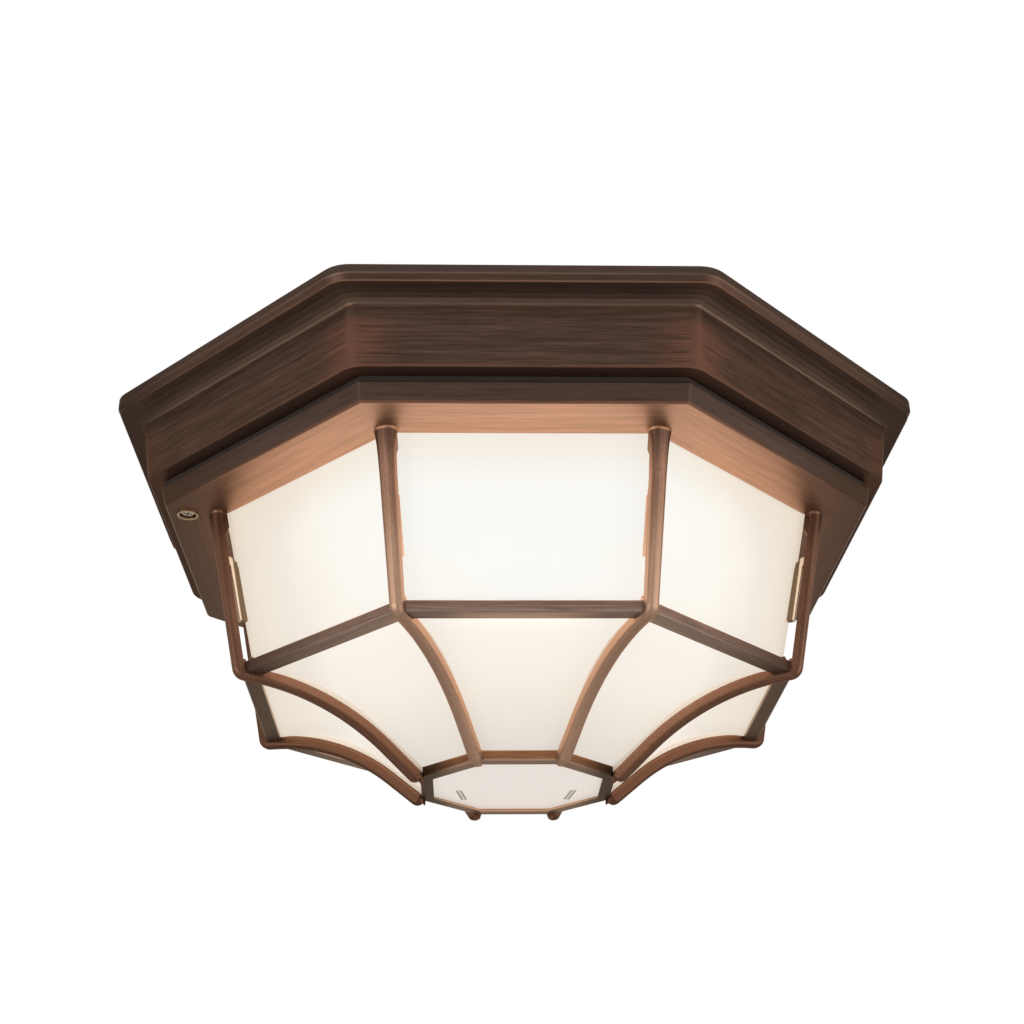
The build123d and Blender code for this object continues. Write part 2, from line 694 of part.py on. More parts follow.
side_view = fillet(side_view.vertices().sort_by_distance((*tail_out, 0))[0], RIB_END_ROUND)
inner_knee = (*rib_curl(RIB_CURL_FROM, RIB_LOW), 0)
side_view = fillet(side_view.vertices().sort_by_distance(inner_knee)[0], RIB_BACK_ROUND)
rib_low = across(side_view, RIB_WIDTH / 2)


# Long edges of the lower half, on its front or on its back
def long_edges(shape, back):
    back_curve = Plane.XZ * Curve(back_line)
    end_curve = Plane.XZ * Curve(end_lines)
    found = []
    for edge in shape.edges():
        middle = Vector(edge.center().X, 0, edge.center().Z)
        outside = abs(edge.center().Y) > RIB_WIDTH / 2 - TOUCH
        near_back = back_curve.distance_to(middle) < EDGE_ROUND
        if outside and near_back == back and end_curve.distance_to(middle) > EDGE_ROUND:
            found.append(edge)
    return found


rib_low = fillet(long_edges(rib_low, False), RIB_ROUND * RIB_WIDTH)
rib_low = fillet(long_edges(rib_low, True), RIB_BACK_ROUND)

# Web behind the lower half, which runs up to the glass
web_near = RIB_LOW / 2
web_view = make_face([
    rib_arc(web_near, RIB_CURL_FROM, RIB_CURL_ANGLE),
    Line(rib_curl(RIB_CURL_ANGLE, web_near), rib_tail(RIB_END_R, web_near)),
    Line(rib_tail(RIB_END_R, web_near), rib_tail(RIB_END_R, RIB_STOCK)),
    Line(rib_tail(RIB_END_R, RIB_STOCK), rib_curl(RIB_CURL_ANGLE, RIB_STOCK)),
    rib_arc(RIB_STOCK, RIB_CURL_ANGLE, RIB_CURL_FROM),
    Line(rib_curl(RIB_CURL_FROM, RIB_STOCK), rib_curl(RIB_CURL_FROM, web_near)),
])
half_web = WEB_WIDTH / 2
rib_low += across(web_view, half_web)

# Upper half: a leg that flares up to the flange, thickened behind its head for the screw
stations = [-RIB_BAR, 0] + [RIB_FLARE_DROP * step for step in (0.5, 1, 1.8, 3)] + [RIB_JOINT_DROP]
leg = loft([rib_plane(drop) * rib_section(leg_width(max(drop, 0))) for drop in stations], ruled=True)
head_block = Polygon(
    leg_point(-CUT, RIB_BAR / 2),
    leg_point(RIB_HEAD_END, RIB_BAR / 2),
    leg_point(RIB_HEAD_END, RIB_BAR),
    leg_point(RIB_HEAD_DROP, RIB_HEAD_DEPTH),
    leg_point(-CUT, RIB_HEAD_DEPTH),
    align=None,
)


# Point on the corner line of the upper glass, seen from the side and standing off outwards
def glass_point(drop, off):
    return (upper_a(LIP_BOTTOM - drop, 0) / FLAT + off, LIP_BOTTOM - drop)


# Tab: bends from the back of the leg to the glass and runs down along the mitre
tab_outline = Polygon(
    leg_point(TAB_TOP, RIB_BAR / 2),
    glass_point(TAB_BEND, -PANE_THICK),
    glass_point(TAB_END, -PANE_THICK),
    glass_point(TAB_END, TAB_THICK),
    glass_point(TAB_BEND, TAB_THICK),
    leg_point(TAB_TOP + TAB_FOOT, RIB_BAR / 2),
    align=None,
)
rib = leg + rib_low + across(head_block, RIB_HEAD_WIDTH / 2) + across(tab_outline, half_web)
rib -= block((0, -REACH, LIP_BOTTOM), (REACH, REACH, 0))
rib -= glazed_corner
rib -= Rot(0, 0, HALF) * ring_block

# Webs in the mitres: behind the tab above, and all along the curl below
upper_web = block((0, -half_web, LIP_BOTTOM - TAB_END), (REACH, half_web, LIP_BOTTOM - TAB_BEND))
lower_web = block((0, -half_web, -REACH), (REACH, half_web, LIP_BOTTOM))
rib += corner_pair(upper_bar & wedge(0)) & upper_web
rib += corner_pair(lower_bar & wedge(0)) & lower_web

# Screw through the flange into the head of a rib
rib_screw_r = RIB_TOP_R - RIB_SCREW_INSET
rib_screw = post(rib_screw_r, 0, RIB_SCREW_R, LIP_BOTTOM - RIB_SCREW_BITE, FLANGE_TOP)
rib_screw_hole = rib_screw
rib_screw += post(rib_screw_r, 0, RIB_SCREW_HEAD_R, FLANGE_TOP, FLANGE_TOP + RIB_SCREW_HEAD)
rib -= rib_screw_hole

# Clips that bridge two panes behind a rib, with a flat pad for the screw
clip_deep = PANE_THICK + CLIP_THICK
clip_box = block((0, -CLIP_HALF_WIDTH, -REACH), (REACH, CLIP_HALF_WIDTH, 0))
clip_top = LIP_BOTTOM - UPPER_CLIP_TOP
clip_low = clip_top - UPPER_CLIP_LENGTH
upper_strip = across(upper_section(PANE_THICK, clip_deep, clip_top, clip_low), LIP_A)
upper_clip = corner_pair(upper_strip & wedge(0)) & clip_box
lower_face = make_face([
    curl_arc(PANE_THICK, LOWER_CLIP_FROM, LOWER_CLIP_TO),
    Line(curl_point(LOWER_CLIP_TO, PANE_THICK), curl_point(LOWER_CLIP_TO, clip_deep)),
    curl_arc(clip_deep, LOWER_CLIP_TO, LOWER_CLIP_FROM),
    Line(curl_point(LOWER_CLIP_FROM, clip_deep), curl_point(LOWER_CLIP_FROM, PANE_THICK)),
])
lower_clip = corner_pair(across(lower_face, LIP_A) & wedge(0)) & clip_box


# Pad and screw of a clip, standing at a point of the corner line and facing the lamps
def clip_fixing(radius, z, tilt):
    place = Pos(radius, 0, z) * Rot(0, tilt, 0)
    pad_rise = CLIP_PAD * tan(radians(HALF)) + CLIP_THICK
    pad = place * Pos(0, 0, pad_rise / 2) * Box(2 * CLIP_PAD, 2 * CLIP_PAD, pad_rise)
    shank = place * Pos(0, 0, pad_rise - CLIP_SCREW_LENGTH / 2) * Cylinder(CLIP_SCREW_R, CLIP_SCREW_LENGTH)
    head = place * Pos(0, 0, pad_rise + CLIP_SCREW_HEAD / 2) * Cylinder(CLIP_SCREW_HEAD_R, CLIP_SCREW_HEAD)
    return pad, shank, head


clip_mid = (clip_top + clip_low) / 2
corner_lean = degrees(atan(PANE_LEAN / FLAT))
upper_place = (upper_a(clip_mid, PANE_THICK) / FLAT, clip_mid, corner_lean - 90)
lower_mid = curl_point((LOWER_CLIP_FROM + LOWER_CLIP_TO) / 2, PANE_THICK)
lower_place = (lower_mid[0] / FLAT, lower_mid[1], -(LOWER_CLIP_FROM + LOWER_CLIP_TO) / 2)
upper_pad, upper_shank, upper_head = clip_fixing(*upper_place)
lower_pad, lower_shank, lower_head = clip_fixing(*lower_place)
pane_pair = corner_pair((upper_bar + lower_bar) & wedge(0))
upper_clip += upper_pad - pane_pair
lower_clip += lower_pad - pane_pair
upper_clip -= upper_shank
lower_clip -= lower_shank
rib -= upper_shank + lower_shank
upper_screw = upper_shank + upper_head
lower_screw = lower_shank + lower_head

# Clips over the bottom pane, each rooted on the web of a rib
clip_root = RING_A / FLAT + BOTTOM_CLIP_RISE
root_a = clip_root * FLAT
root = slope_point(root_a, PANE_THICK)[1]
seat = ring_seat + PANE_THICK
bend_r = (RING_A - RING_WALL) / FLAT
clip_reach = bend_r - BOTTOM_CLIP_OVER
strip = Polygon(
    (clip_root, root),
    (clip_root, root + CLIP_THICK),
    (bend_r - CLIP_THICK, seat + CLIP_THICK),
    (clip_reach, seat + CLIP_THICK),
    (clip_reach, seat),
    (bend_r - 2 * CLIP_THICK, seat),
    align=None,
)
bottom_clip = across(strip, BOTTOM_CLIP_WIDTH / 2) - pane_pair - rib - Rot(0, 0, HALF) * bottom_pane

# Cage pieces set round the plan, from the front right corner
first_corner = FRONT + HALF
for number, piece in enumerate(around(rib, first_corner), 1):
    node(f"cage_rib_{number}", [piece])
node("rib_screws", around(rib_screw, first_corner))
node("upper_clips", around(upper_clip, first_corner))
node("lower_clips", around(lower_clip, first_corner))
node("clip_screws", around(upper_screw, first_corner) + around(lower_screw, first_corner))
half_round = SIDES // 2
corners = enumerate(around(bottom_clip, first_corner))
node("bottom_clips", [clip for place, clip in corners if place % half_round in (0, 1)])

# Mid ring: a bar along each side, with a shelf under the panes, coped to the ribs
bar_low = RIB_FLOOR + BAR_RISE
bar_top = bar_low + BAR_HEIGHT
bar_out_top = leg_point(LIP_BOTTOM - bar_top, 0)[0] * FLAT - BAR_SET
bar_out_low = leg_point(LIP_BOTTOM - bar_low, 0)[0] * FLAT - BAR_SET
bar_in = bar_out_low - BAR_DEPTH
bar_outline = Polygon(
    (bar_out_top, bar_top),
    (upper_a(bar_top, 0), bar_top),
    (upper_a(SHELF, 0), SHELF),
    (bar_in, SHELF),
    (bar_in, bar_low),
    (bar_out_low, bar_low),
    align=None,
)
low_corner = (bar_out_low, bar_low, 0)
top_corner = (bar_out_top, bar_top, 0)
bar_outline = fillet(bar_outline.vertices().sort_by_distance(low_corner)[0], BAR_ROUND)
bar_outline = fillet(bar_outline.vertices().sort_by_distance(top_corner)[0], BAR_EDGE)
bar = across(bar_outline, LIP_A) & wedge(PANE_GAP / 2)
bar -= Rot(0, 0, HALF) * rib
bar -= Rot(0, 0, -HALF) * rib
node("mid_ring_bars", around(bar, FRONT))

# Cage flange: an outer wall round a thin plate, with a boss for the latch and a hinge knuckle
flange = stack([
    (LIP_A - EDGE_ROUND, LIP_TOP, LIP_CORNER),
    (LIP_A, LIP_TOP - EDGE_ROUND, LIP_CORNER),
    (LIP_A - LIP_TAPER, LIP_BOTTOM + EDGE_ROUND, LIP_CORNER),
    (LIP_A - LIP_TAPER - EDGE_ROUND, LIP_BOTTOM, LIP_CORNER),
])
flange -= prism(LIP_A - LIP_WALL, FLANGE_TOP, LIP_TOP + CUT, LIP_CORNER)
flange += post(latch_x, latch_y, LATCH_BOSS_R, LIP_BOTTOM, LIP_TOP)
mouth_a = upper_a(FLANGE_TOP, 0) + PANE_ENTRY
flange -= prism(mouth_a, LIP_BOTTOM - CUT, LIP_TOP + CUT, LIP_CORNER)
flange -= post(latch_x, latch_y, LATCH_R + LATCH_CLEAR, LIP_BOTTOM - CUT, LIP_TOP + CUT)
flange -= post(latch_x, latch_y, LATCH_HEAD_R + LATCH_CLEAR, LIP_BOTTOM - CUT, LATCH_SEAT)
for hole in around(rib_screw_hole, first_corner):
    flange -= hole
knuckle_outline = Polygon(
    (LIP_A - LIP_TAPER - EDGE_ROUND, hinge_z + HINGE_KNUCKLE_R - EDGE_ROUND),
    (hinge_a, hinge_z + HINGE_KNUCKLE_R - EDGE_ROUND),
    (hinge_a, hinge_z - HINGE_KNUCKLE_R),
    (LIP_A - LIP_TAPER - EDGE_ROUND, hinge_z - HINGE_KNUCKLE_R),
    align=None,
)
knuckle_outline += Pos(hinge_a, hinge_z) * Circle(HINGE_KNUCKLE_R)
flange += Rot(0, 0, HINGE_AZIMUTH) * across(knuckle_outline, HINGE_KNUCKLE / 2)
pin_bore = Pos(hinge_a, 0, hinge_z) * Rot(90, 0, 0)
flange -= Rot(0, 0, HINGE_AZIMUTH) * pin_bore * Cylinder(HINGE_PIN_R + HINGE_RUN, HINGE_KNUCKLE + CUT)
node("cage_flange", [flange])

# Hinge pin through both lugs, and the clip pushed on its end
pin_end = lug_high + HINGE_CLIP + HINGE_SIDE_GAP
pin = Cylinder(HINGE_PIN_R, lug_high + pin_end, align=(Align.CENTER, Align.CENTER, Align.MIN))
pin += Cylinder(HINGE_HEAD_R, HINGE_HEAD, align=(Align.CENTER, Align.CENTER, Align.MAX))
pin = pin_bore * Pos(0, 0, -lug_high) * pin
node("hinge_pin", [Rot(0, 0, HINGE_AZIMUTH) * pin])
clip_ring = Cylinder(HINGE_CLIP_R, HINGE_CLIP, align=(Align.CENTER, Align.CENTER, Align.MIN))
clip_ring -= Cylinder(HINGE_PIN_R, 2 * (HINGE_CLIP + CUT))
clip_ring = pin_bore * Pos(0, 0, lug_high) * clip_ring
node("hinge_clip", [Rot(0, 0, HINGE_AZIMUTH) * clip_ring])

# Latch screw sunk in its pocket under the flange, with a thin ring round the pocket
washer_low = LIP_BOTTOM - LATCH_WASHER
washer = post(latch_x, latch_y, LATCH_WASHER_R, washer_low, LIP_BOTTOM)
washer -= post(latch_x, latch_y, LATCH_HEAD_R + LATCH_CLEAR, washer_low - CUT, LIP_BOTTOM + CUT)
node("latch_washer", [washer])
head_low = LATCH_SEAT - LATCH_HEAD
head = post(0, 0, LATCH_HEAD_R, head_low, LATCH_SEAT)
head = fillet(head.edges().group_by(Axis.Z)[0], EDGE_ROUND)
cross = Box(LATCH_CROSS, LATCH_SLOT, LATCH_HEAD) + Box(LATCH_SLOT, LATCH_CROSS, LATCH_HEAD)
head -= Pos(0, 0, head_low) * cross
head += post(0, 0, LATCH_R, LATCH_SEAT, latch_tip)
node("latch_screw", [Pos(latch_x, latch_y, 0) * Rot(0, 0, LATCH_AZIMUTH) * head])
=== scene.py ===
# %% [markdown]
# # A flush mount ceiling light, lit and seen from below
# The light is an eight-sided bronze canopy with a glazed cage hinged under it. The packed
# CAD model is the frame: every node already has its real shape, size and place, so nothing is
# modelled again here. This script gives each surface its finish, and sets up the camera, the
# studio light and the glow of the lamps.

# %% Load the frame
import bpy
from math import atan, cos, pi, radians, sin, tan
from mathutils import Matrix, Vector


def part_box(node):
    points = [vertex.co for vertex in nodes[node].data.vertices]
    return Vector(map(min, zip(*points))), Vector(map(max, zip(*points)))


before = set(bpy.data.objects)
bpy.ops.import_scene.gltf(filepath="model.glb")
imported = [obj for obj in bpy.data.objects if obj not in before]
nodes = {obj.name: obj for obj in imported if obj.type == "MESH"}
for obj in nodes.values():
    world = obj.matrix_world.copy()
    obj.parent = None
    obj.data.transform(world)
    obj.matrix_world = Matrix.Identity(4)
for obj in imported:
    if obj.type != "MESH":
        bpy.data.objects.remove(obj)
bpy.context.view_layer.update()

# %% [markdown]
# ## Working with shader nodes
# A finish is a small network of shader nodes. It could be drawn by hand in the shader editor,
# but the finishes of this light share most of their steps, so helpers write the networks. The
# first ones turn a screen colour into the linear light that shaders work in, add a node with
# its sockets filled in order, and blend two colours.

# %% Helpers that add and connect nodes
MM = 0.001
MIX_FIRST, MIX_SECOND, MIX_RESULT = 6, 7, 2


def shade(hexadecimal):
    """A screen colour such as "7a5a48" as linear red, green, blue and alpha."""
    channels = [int(hexadecimal[i:i + 2], 16) / 255 for i in (0, 2, 4)]
    linear = [c / 12.92 if c < 0.04045 else ((c + 0.055) / 1.055) ** 2.4 for c in channels]
    return (*linear, 1.0)


def connect(tree, socket, value):
    """Links a socket to the output of another node, or sets it to a plain value."""
    if isinstance(value, bpy.types.NodeSocket):
        tree.links.new(value, socket)
    else:
        socket.default_value = value


def add(tree, kind, *inputs, out=0, **settings):
    """Adds a shader node, fills its sockets in order and gives back one of its outputs."""
    made = tree.nodes.new("ShaderNode" + kind)
    for setting, value in settings.items():
        setattr(made, setting, value)
    for socket, value in zip(made.inputs, inputs):
        if value is not None:
            connect(tree, socket, value)
    return made.outputs[out]


def tint(tree, factor, first, second, how="MIX"):
    """Blends two colours. A Mix node has its colour sockets after those for numbers."""
    made = add(tree, "Mix", factor, data_type="RGBA", blend_type=how).node
    connect(tree, made.inputs[MIX_FIRST], first)
    connect(tree, made.inputs[MIX_SECOND], second)
    return made.outputs[MIX_RESULT]


def new_finish(name):
    """A material with a plain Principled shader: the material, its tree and its shader."""
    material = bpy.data.materials.new(name)
    material.use_nodes = True
    tree = material.node_tree
    return material, tree, tree.nodes["Principled BSDF"]


def feed(tree, shader, **sockets):
    """Links or sets sockets of a shader, named with _ for a space."""
    for name, value in sockets.items():
        connect(tree, shader.inputs[name.replace("_", " ")], value)


def dress(material, *names):
    """Gives CAD nodes a finish in place of their plain one."""
    for name in names:
        nodes[name].data.materials.clear()
        nodes[name].data.materials.append(material)


print("helpers for nodes ready")

# %% [markdown]
# ## Measuring and masking
# Wear, dirt and tone go by place: how high a point lies, how far from an edge, how far to the
# side. A mask is a number from 0 to 1 that says how much of something a point gets. Sums on
# the object's own coordinates make the masks, so they need no unwrapping and no painted
# image, and they stay on the piece when it moves.

# %% Helpers for sums and masks


def sums(tree, operation, *values):
    """One step of arithmetic."""
    return add(tree, "Math", *values, operation=operation)


def times(tree, first, second):
    return sums(tree, "MULTIPLY", first, second)


def minus(tree, first, second):
    return sums(tree, "SUBTRACT", first, second)


def times_plus(tree, value, factor, added):
    """The value times the factor, and the third number added."""
    return sums(tree, "MULTIPLY_ADD", value, factor, added)


def slide(tree, factor, start, end):
    """A number that goes from start to end while the factor goes from 0 to 1."""
    return times_plus(tree, factor, end - start, start)


def rise(tree, value, low, high):
    """0 below low, 1 above high, and a soft step between."""
    return add(tree, "MapRange", value, low, high, 0.0, 1.0, interpolation_type="SMOOTHSTEP")


def near(tree, value, centre, reach):
    """1 at the centre, falling softly to 0 at a distance."""
    away = sums(tree, "ABSOLUTE", minus(tree, value, centre))
    return minus(tree, 1.0, rise(tree, away, 0.0, reach))


def between(tree, value, low, high, soft):
    """1 between two values, falling softly to 0 outside them."""
    above = rise(tree, value, low - soft, low)
    return minus(tree, above, rise(tree, value, high, high + soft))


def object_place(tree):
    """The place of a point in the object's own coordinates."""
    return add(tree, "TexCoord", out="Object")


def sideways(tree):
    """How far a point lies to the left or right of the middle."""
    return sums(tree, "ABSOLUTE", add(tree, "SeparateXYZ", object_place(tree), out="X"))


def noise(tree, place, scale, detail=2.0, roughness=0.5):
    """Soft random grain, finer with a larger scale."""
    return add(tree, "TexNoise", place, None, scale, detail, roughness)


def tones(tree, factor, *colours):
    """A ramp through colours, each given as its place and its screen colour."""
    ramp = add(tree, "ValToRGB", factor).node
    points = ramp.color_ramp.elements
    while len(points) < len(colours):
        points.new(0.5)
    for point, (place, colour) in zip(points, colours):
        point.position = place
        point.color = shade(colour)
    return ramp.outputs[0]


def bump(tree, height, strength, depth):
    """Fine relief for a shader's normal."""
    made = add(tree, "Bump").node
    feed(tree, made, Strength=strength, Distance=depth, Height=height)
    return made.outputs[0]


print("helpers for masks ready")

# %% [markdown]
# ## Brushed antique bronze
# The castings are dark brown with a rubbed, brushed finish. The strokes run along each of
# the eight sides and meet at the corners. Eight materials could do that, one for each side,
# but one is enough if the shader folds the plan: it finds the side that a point belongs to
# and measures along that side and out from the middle. Long noise along the side then gives
# the strokes.

# %% Folding the plan and brushing along it
SIDE = radians(45)
HALF_SIDE = SIDE / 2
SIDE_SHIFT = 7.3
STROKE_DETAIL, STROKE_ROUGHNESS = 3.0, 0.6


def folded(tree, first):
    """Distance along a side, out from the middle, and up, with the number of the side."""
    split = add(tree, "SeparateXYZ", object_place(tree)).node
    x, y, z = split.outputs
    turn = minus(tree, sums(tree, "ARCTAN2", y, x), first)
    number = sums(tree, "ROUND", sums(tree, "DIVIDE", turn, SIDE))
    angle = times_plus(tree, number, SIDE, first)
    c = sums(tree, "COSINE", angle)
    s = sums(tree, "SINE", angle)
    out = times_plus(tree, x, c, times(tree, y, s))
    along = minus(tree, times(tree, y, c), times(tree, x, s))
    return along, out, z, number


def strokes(tree, lengthwise, across, deep, number, length, width):
    """Brush strokes of a length and width, different on every side."""
    u = times_plus(tree, lengthwise, 1 / length, times(tree, number, SIDE_SHIFT))
    v = sums(tree, "DIVIDE", across, width)
    w = sums(tree, "DIVIDE", deep, width)
    place = add(tree, "CombineXYZ", u, v, w)
    return noise(tree, place, 1.0, STROKE_DETAIL, STROKE_ROUGHNESS)


print("brushing ready")

# %% [markdown]
# ## Wear, painted light and painted shade
# Use has changed the finish, and light and shade are painted into it as well. Some bands of
# the moulding have another tone, and the undersides of flange, bars and ring are painted
# lighter, as light falls on them. The edges are rubbed to copper in broken lines, which
# painted shade makes fainter at the sides than in front. The corners of the tall band are
# rubbed in soft patches. The left and right ends get painted shade, as less light falls there.
# Bands and edges go by height, patches by the distance to the nearest corner, and ends by the
# distance from the middle. One function for each kind keeps them easy to tune.

# %% Wear, painted light and painted shade
BAND_SOFT = 0.5 * MM
BAND_BRUSHING = (0.2, 1.8)
PATCH_REACH = (1 * MM, 19 * MM)
PATCH_HEIGHTS = (-29 * MM, -17 * MM)
PATCH_SOFT = 6 * MM
PATCH_STROKES = (0.3, 0.62)
PATCH_TONE = "805340"
EDGE_BREAKS = (0.25, 0.5)
EDGE_BREAK_SCALE = 24.0
EDGE_SIDE_SHADE = (62 * MM, 100 * MM)
EDGE_SHARES = (0.85, 0.35)


def toned_and_lit_bands(tree, colour, height, brushing, bands):
    """Bands (low, high, tone, share) of another tone, brushed like the rest; some are painted light
    on undersides.
    """
    brushed = slide(tree, brushing, *BAND_BRUSHING)
    for low, high, tone, share in bands:
        inside = times(tree, between(tree, height, low, high, BAND_SOFT), brushed)
        colour = tint(tree, times(tree, inside, share), colour, shade(tone))
    return colour


def rubbed_corners(tree, colour, height, brushing, corner, share):
    """Soft patches at the corners of the tall band."""
    wear_and_light = minus(tree, 1.0, rise(tree, corner, *PATCH_REACH))
    wear_and_light = times(tree, wear_and_light, between(tree, height, *PATCH_HEIGHTS, PATCH_SOFT))
    wear_and_light = times(tree, wear_and_light, rise(tree, brushing, *PATCH_STROKES))
    return tint(tree, times(tree, wear_and_light, share), colour, shade(PATCH_TONE))


def rubbed_edges(tree, colour, height, edges):
    """Broken copper lines along edges (height, reach, tone), with painted shade fading them at the
    sides.
    """
    broken = rise(tree, noise(tree, object_place(tree), EDGE_BREAK_SCALE), *EDGE_BREAKS)
    # painted shade: the copper lines fade towards the sides, where less light falls
    wear_and_side_shade = slide(tree, rise(tree, sideways(tree), *EDGE_SIDE_SHADE), *EDGE_SHARES)
    for place, reach, tone in edges:
        line = times(tree, near(tree, height, place, reach), broken)
        colour = tint(tree, times(tree, line, wear_and_side_shade), colour, shade(tone))
    return colour


def painted_shade_ends(tree, colour, start, end, share, tone):
    """Painted shade towards the left and right ends, where less light falls."""
    ends = rise(tree, sideways(tree), start, end)
    return tint(tree, times(tree, ends, share), colour, shade(tone))


print("wear ready")

# %% [markdown]
# ## The finish of canopy, flange and rings
# Canopy, flange, bars and bottom ring are the same brushed bronze with tones of their own, so
# one function makes all four. Broad and fine strokes are mixed and run through a ramp of
# four tones. Close to a corner the strokes calm down, because two brushed sides meet there.

# %% The bronze of canopy, flange and rings
STEPS = (0.3, 0.47, 0.61, 0.75)
BROAD_STROKE = (38 * MM, 1.3 * MM)
FINE_STROKE = (12 * MM, 0.4 * MM)
CORNER_CALM = 5 * MM
BRONZE_METAL = 0.92
BRONZE_ROUGH = (0.34, 0.56)
BRONZE_RELIEF = (0.22, 0.15 * MM)


def bronze(name, ramp, rim, ends, bands=(), edges=(), patch=0.0):
    """Brushed bronze in four tones, with its wear, its painted light and shade, and the colour of
    its glancing shine.
    """
    material, tree, shader = new_finish(name)
    along, out, height, number = folded(tree, 0.0)
    broad = strokes(tree, along, out, height, number, *BROAD_STROKE)
    fine = strokes(tree, along, out, height, number, *FINE_STROKE)
    half_length = times(tree, out, tan(HALF_SIDE))
    corner = minus(tree, half_length, sums(tree, "ABSOLUTE", along))
    swing = times_plus(tree, broad, 0.5, times_plus(tree, fine, 0.5, -0.5))
    brushing = times_plus(tree, swing, rise(tree, corner, 0.0, CORNER_CALM), 0.5)
    colour = tones(tree, brushing, *zip(STEPS, ramp))
    # some bands are painted light, on undersides that face the lit glass
    colour = toned_and_lit_bands(tree, colour, height, brushing, bands)
    if patch:
        colour = rubbed_corners(tree, colour, height, brushing, corner, patch)
    colour = rubbed_edges(tree, colour, height, edges)
    # painted shade: the left and right ends are darker, as less light falls there
    colour = painted_shade_ends(tree, colour, *ends)
    feed(tree, shader, Base_Color=colour, Metallic=BRONZE_METAL, Specular_Tint=shade(rim))
    feed(tree, shader, Roughness=slide(tree, fine, *BRONZE_ROUGH))
    feed(tree, shader, Normal=bump(tree, brushing, *BRONZE_RELIEF))
    return material


canopy_bronze = bronze(
    "canopy_bronze", ("2f241e", "48362d", "574239", "6b5043"), "c4b4aa",
    ends=(118 * MM, 150 * MM, 0.6, "2b2725"),
    bands=[
        (-2.9 * MM, 0.0, "4a3e38", 0.6),
        (-5.2 * MM, -3.5 * MM, "4e392f", 0.55),
        (-8.4 * MM, -5.9 * MM, "69564a", 0.62),
        (-33.0 * MM, -31.2 * MM, "5f4a3e", 0.7),
    ],
    edges=[
        (-3.2 * MM, 0.5 * MM, "6b574c"),
        (-5.5 * MM, 0.5 * MM, "7c5947"),
        (-9.1 * MM, 0.8 * MM, "8a614a"),
        (-30.9 * MM, 0.6 * MM, "6e4c3c"),
    ],
    patch=0.5,
)
flange_bronze = bronze(
    "flange_bronze", ("20160f", "463124", "624432", "8a5f47"), "ece0d6",
    ends=(90 * MM, 135 * MM, 0.75, "3a2519"),
    bands=[
        (-40.4 * MM, -33.0 * MM, "463a36", 0.6),
        # painted light: the underside of the flange, lit by the glass below it
        (-42.5 * MM, -41.2 * MM, "9e755f", 0.5),
    ],
    edges=[
        (-34.0 * MM, 0.5 * MM, "6d5245"),
        (-40.75 * MM, 0.4 * MM, "7a5442"),
    ],
)
bar_bronze = bronze(
    "bar_bronze", ("52403a", "725b4f", "876c5e", "9c7e6c"), "e4d6ca",
    ends=(55 * MM, 104 * MM, 0.85, "3a261b"),
    # painted light: the underside of the bars, lit by the lower panes
    bands=[(-103.6 * MM, -102.9 * MM, "b8a294", 0.3)],
    edges=[(-99.6 * MM, 0.6 * MM, "b8927b")],
)
ring_bronze = bronze(
    "ring_bronze", ("4a3123", "684630", "7b543b", "926647"), "e0d2c6",
    ends=(22 * MM, 33 * MM, 0.85, "2a1c14"),
    # painted light on the bottom face of the ring
    bands=[(-136.0 * MM, -134.4 * MM, "94806f", 0.6)],
    edges=[(-131.0 * MM, 0.5 * MM, "a8805f")],
)
dress(canopy_bronze, "canopy_pan")
dress(flange_bronze, "cage_flange")
dress(bar_bronze, "mid_ring_bars")
dress(ring_bronze, "bottom_ring")
print("bronze on canopy, flange and rings")

# %% [markdown]
# ## Measuring a rib
# A rib has parts that differ in finish by how deep they lie behind its outer face: the tab on
# its back, and the web between rib and glass, painted cream as the lit glass that shows behind
# the rib. Splitting the mesh into parts could mark them, but the CAD meshes stay as they are, so
# the shader measures the depth: from a straight line above the knee, and from the arc of the curl
# and its straight end below it.

# %% Depth behind the face of a rib
RIBS = [f"cage_rib_{number}" for number in range(1, 9)]
RIB_LEAN = 0.215
RIB_FACE = 135.1055 * MM
CURL_CENTRE = (112.38 * MM, -195.7 * MM)
CURL_RADIUS = 90 * MM
CURL_TURN = radians(40)
CURL_END_SOFT = 0.01


def leg_depth(tree, out, height):
    """Depth behind the straight leg of a rib."""
    face = times_plus(tree, height, RIB_LEAN, RIB_FACE)
    return times(tree, minus(tree, face, out), cos(atan(RIB_LEAN)))


def curl_depth(tree, out, height):
    """Depth behind the curl of a rib and behind its straight end."""
    x = minus(tree, CURL_CENTRE[0], out)
    y = minus(tree, height, CURL_CENTRE[1])
    arc = sums(tree, "SQRT", times_plus(tree, x, x, times(tree, y, y)))
    end = times_plus(tree, x, sin(CURL_TURN), times(tree, y, cos(CURL_TURN)))
    turn = sums(tree, "ARCTAN2", x, y)
    past_curl = rise(tree, turn, CURL_TURN, CURL_TURN + CURL_END_SOFT)
    measured = add(tree, "MapRange", past_curl, 0.0, 1.0, arc, end)
    return minus(tree, measured, CURL_RADIUS)


print("measures of the ribs ready")

# %% [markdown]
# ## The ribs
# The ribs are drawn down to the bottom ring, so their brush strokes run down the rib, not
# round the plan. The same folding, turned half a side, finds the nearest corner. The two ribs
# in front are painted lighter, most of all low down, as light falls on them, and the others get
# painted shade, as they face away from the light. The head of a rib gets painted shade under a
# painted highlight along its top edge, and the flanks of a rib get painted shade. On all but the
# front ribs, the tab is greyer than the rib and has a painted line of light from the glass close
# to the rib.

